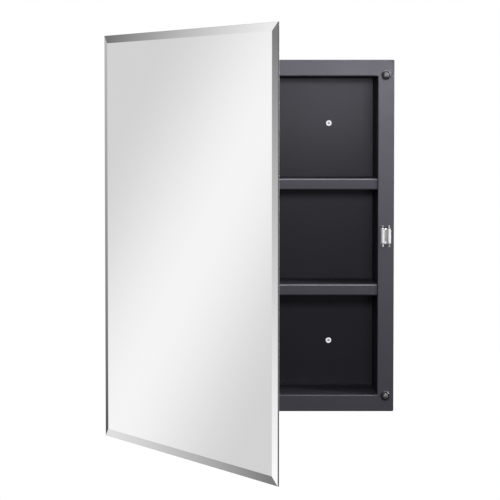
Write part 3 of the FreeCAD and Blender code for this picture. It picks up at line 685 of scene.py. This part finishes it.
# The flat face of the mirror shows a soft diagonal band. Each bevel shows one side of the card:
# a place and a tone at both ends, and where that side takes over from the middle.
mirrorCard = {"distance": 1.5, "halfWidth": 1.15, "halfHeight": 1.3, "outward": (-0.9026, 0.4305, 0.0),
              "centre": (-0.1068, -0.3429, 0.0), "faceDim": 0.69, "faceLift": 0.282, "blueLift": 1.005,
              "bandAcross": 0.427, "bandUp": 0.2111, "bandMiddle": -0.0413, "bandHalf": 0.150,
              "top": {"ends": ((0.216, 0.20), (-0.144, 0.90)), "takesOver": (0.43, 0.52)},
              "bottom": {"ends": ((0.261, 0.80), (-0.079, 0.22)), "takesOver": (-0.655, -0.71)},
              "left": {"ends": ((0.36, 0.50), (-0.54, 0.105)), "takesOver": (0.42, 0.52)},
              "right": {"ends": ((0.40, 0.22), (-0.66, 1.02)), "takesOver": (-0.60, -0.70)}}


def cardColour(board, place):
    across, upward = (board.add("ShaderNodeSeparateXYZ", {}, {0: place}, axis) for axis in ("X", "Y"))
    fromBand = across * mirrorCard["bandAcross"] + upward * mirrorCard["bandUp"] - mirrorCard["bandMiddle"]
    offBand = fromBand.maths("ABSOLUTE", fromBand)
    value = board.spread(offBand, 0.0, mirrorCard["bandHalf"],
                         mirrorCard["faceDim"] + mirrorCard["faceLift"], mirrorCard["faceDim"])
    for side in ("top", "bottom", "left", "right"):
        along, out = (across, upward) if side in ("top", "bottom") else (upward, across)
        (startAt, startTone), (endAt, endTone) = mirrorCard[side]["ends"]
        bevelTone = board.ramp(along, startAt, endAt, startTone, endTone)
        value = value + (bevelTone - value) * board.spread(out, *mirrorCard[side]["takesOver"])
    return board.add("ShaderNodeCombineColor", {}, {0: value, 1: value, 2: value * mirrorCard["blueLift"]})


outward = Vector(mirrorCard["outward"])
along = Vector((outward.y, -outward.x, 0))
cardPlace = Matrix((along, Vector((0, 0, 1)), outward)).transposed().to_4x4()
cardPlace.translation = Vector(mirrorCard["centre"]) + outward * mirrorCard["distance"]
flatStage("mirrorCard", mirrorCard["halfWidth"], mirrorCard["halfHeight"], cardPlace,
          emissionOf("mirrorCardGlow", cardColour), ("camera", "diffuse", "transmission", "shadow"))

# seen is what the camera meets; shades are what lights the cabinet, from straight down (0) to straight up (1)
surround = {"seen": (1.0, 1.0, 1.0, 1),
            "shades": [(0.0, (0.20, 0.20, 0.205, 1)), (0.26, (0.26, 0.26, 0.265, 1)),
                       (0.43, (0.82, 0.82, 0.825, 1)), (1.0, (0.56, 0.56, 0.57, 1))]}
world = bpy.data.worlds.new("studioSurround")
scene.world = world
world.use_nodes = True
air = Board(world.node_tree)
upward = air.add("ShaderNodeSeparateXYZ", {}, {0: air.add("ShaderNodeTexCoord", output="Generated")}, "Z")
shade = air.add("ShaderNodeValToRGB", {"stops": surround["shades"]}, {0: upward * 0.5 + 0.5})
glow = air.mixColours(air.add("ShaderNodeLightPath", output="Is Camera Ray"), shade, surround["seen"])
air.add("ShaderNodeOutputWorld", {}, {"Surface": air.add("ShaderNodeBackground", {}, {"Color": glow})})
print("stage made")


softLights = {
    "keySoftbox": {"place": (0.15, -1.80, 0.33), "target": (0.12, -0.10, 0.15), "size": (0.3, 0.2), "power": 21.5},
    "frontFill": {"place": (0.35, -2.9, -0.05), "target": (0.02, -0.10, 0.0), "size": (0.6, 0.6), "power": 5.0},
    "cornerGlow": {"place": (0.40, -1.70, 0.42), "target": (0.222, -0.121, 0.275), "size": (0.12, 0.12),
                   "power": 0.03, "spread": 12.0},
    "rimStrip": {"place": (1.25, -0.75, 0.75), "target": (0.2, -0.12, 0.05), "size": (0.1, 0.9), "power": 32.0},
    "rightStrip": {"place": (1.7, 0.05, 0.1), "target": (0.2, -0.1, 0.0), "size": (0.35, 1.6), "power": 10.0},
    "topSoftbox": {"place": (0.3, -0.36, 1.40), "target": (0.12, -0.16, 0.0), "size": (1.0, 0.3), "power": 44.0},
    "backSoftbox": {"place": (0.5, 1.7, 0.8), "target": (0.0, 0.0, 0.0), "size": (1.2, 1.2), "power": 40.0}}

for name, light in softLights.items():
    lamp = bpy.data.lights.new(name, "AREA")
    lamp.shape, (lamp.size, lamp.size_y) = "RECTANGLE", light["size"]
    lamp.energy, lamp.spread = light["power"], math.radians(light.get("spread", 180.0))
    holder = bpy.data.objects.new(name, lamp)
    scene.collection.objects.link(holder)
    holder.location = light["place"]
    aim = Vector(light["target"]) - Vector(light["place"])
    holder.rotation_euler = aim.to_track_quat("-Z", "Y").to_euler()
print("lights set")


# Camera

camera = {"place": (-0.0053, -3.1189, 0.1882), "pitchDown": 2.459, "lens": 130.63, "sensor": 36.0, "rise": -0.0994,
          "clip": (0.05, 60.0)}
view = bpy.data.cameras.new("frontCamera")
view.lens, view.sensor_width, view.shift_y = camera["lens"], camera["sensor"], camera["rise"]
view.clip_start, view.clip_end = camera["clip"]
eye = bpy.data.objects.new("frontCamera", view)
scene.collection.objects.link(eye)
eye.location = camera["place"]
eye.rotation_euler = (math.radians(90 - camera["pitchDown"]), 0, 0)
scene.camera = eye
scene.view_settings.view_transform = "Standard"
scene.view_settings.look = "None"
